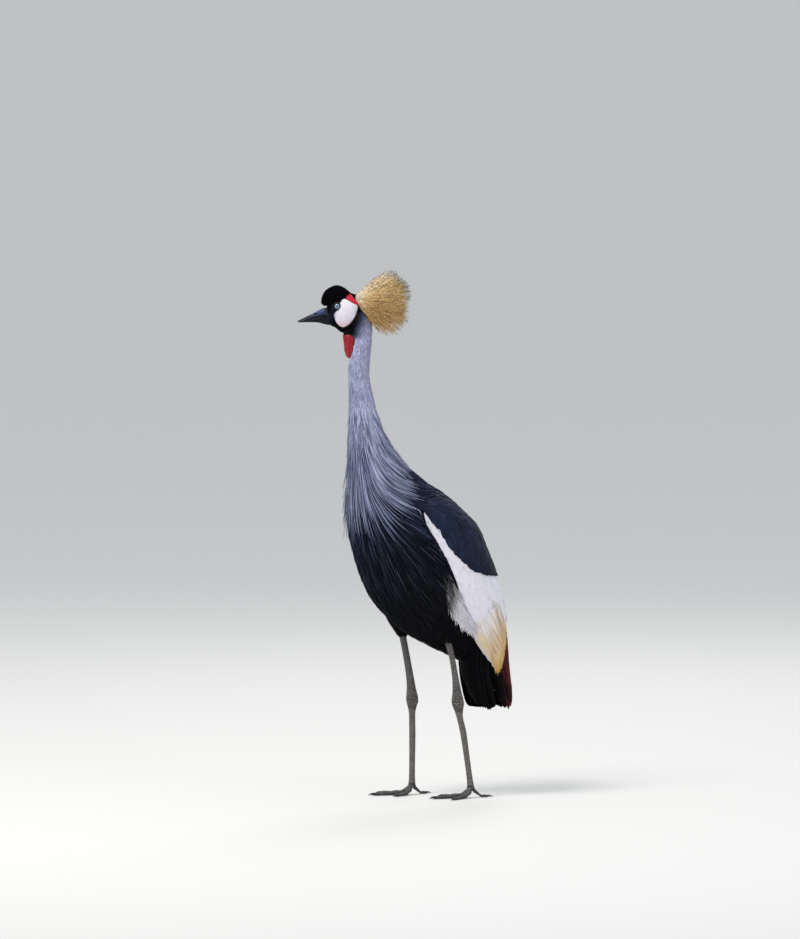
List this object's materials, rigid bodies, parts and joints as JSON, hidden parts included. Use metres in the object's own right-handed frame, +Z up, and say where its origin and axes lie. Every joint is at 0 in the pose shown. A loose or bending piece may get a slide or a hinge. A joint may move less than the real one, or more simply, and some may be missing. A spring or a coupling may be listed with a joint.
{
  "type": "grey crowned crane",
  "caption": "Life-size standing grey crowned crane with folded wings, a fan of gold bristles on the head, a hanging red throat wattle and long dark legs.",
  "frame": {"origin": "on the floor under the middle of the bird's footprint box", "axes": "+Z up, the bird faces -Y, +X is its left side"},
  "size_m": [0.208, 0.4389, 1.0593],
  "materials": {
    "grey_plumage": "soft pale blue-grey feathers",
    "slate_plumage": "dark slate feathers with fine pale shafts",
    "white_plumage": "white covert feathers",
    "chestnut_plumage": "dark chestnut feathers",
    "black_plumage": "black feathers",
    "velvet": "short black velvet feathers",
    "gold_bristles": "stiff straw-gold bristles",
    "bare_red_skin": "bare crimson skin",
    "bill_horn": "slate-grey horn",
    "eye": "pale blue-grey iris under a clear wet surface",
    "claw_horn": "black horn",
    "leg_skin": "dark grey scaled skin"
  },
  "bodies": {
    "root": {"neck_upper": "grey_plumage", "neck_middle": "grey_plumage", "neck_lower": "grey_plumage", "trunk": "slate_plumage", "tail": "black_plumage", "wing_coverts_left": "white_plumage", "wing_flights_left": "chestnut_plumage", "wing_coverts_right": "white_plumage", "wing_flights_right": "chestnut_plumage", "head": "velvet", "forehead_cushion": "velvet", "bill_upper": "bill_horn", "bill_lower": "bill_horn", "eye_left": "eye", "eye_right": "eye", "wattle": "bare_red_skin", "crest": "gold_bristles", "thigh_left": "black_plumage", "shank_left": "leg_skin", "tarsus_left": "leg_skin", "toe_middle_left": "leg_skin", "claw_middle_left": "claw_horn", "toe_inner_left": "leg_skin", "claw_inner_left": "claw_horn", "toe_outer_left": "leg_skin", "claw_outer_left": "claw_horn", "toe_hind_left": "leg_skin", "claw_hind_left": "claw_horn", "thigh_right": "black_plumage", "shank_right": "leg_skin", "tarsus_right": "leg_skin", "toe_middle_right": "leg_skin", "claw_middle_right": "claw_horn", "toe_inner_right": "leg_skin", "claw_inner_right": "claw_horn", "toe_outer_right": "leg_skin", "claw_outer_right": "claw_horn", "toe_hind_right": "leg_skin", "claw_hind_right": "claw_horn"}
  },
  "joints": []
}
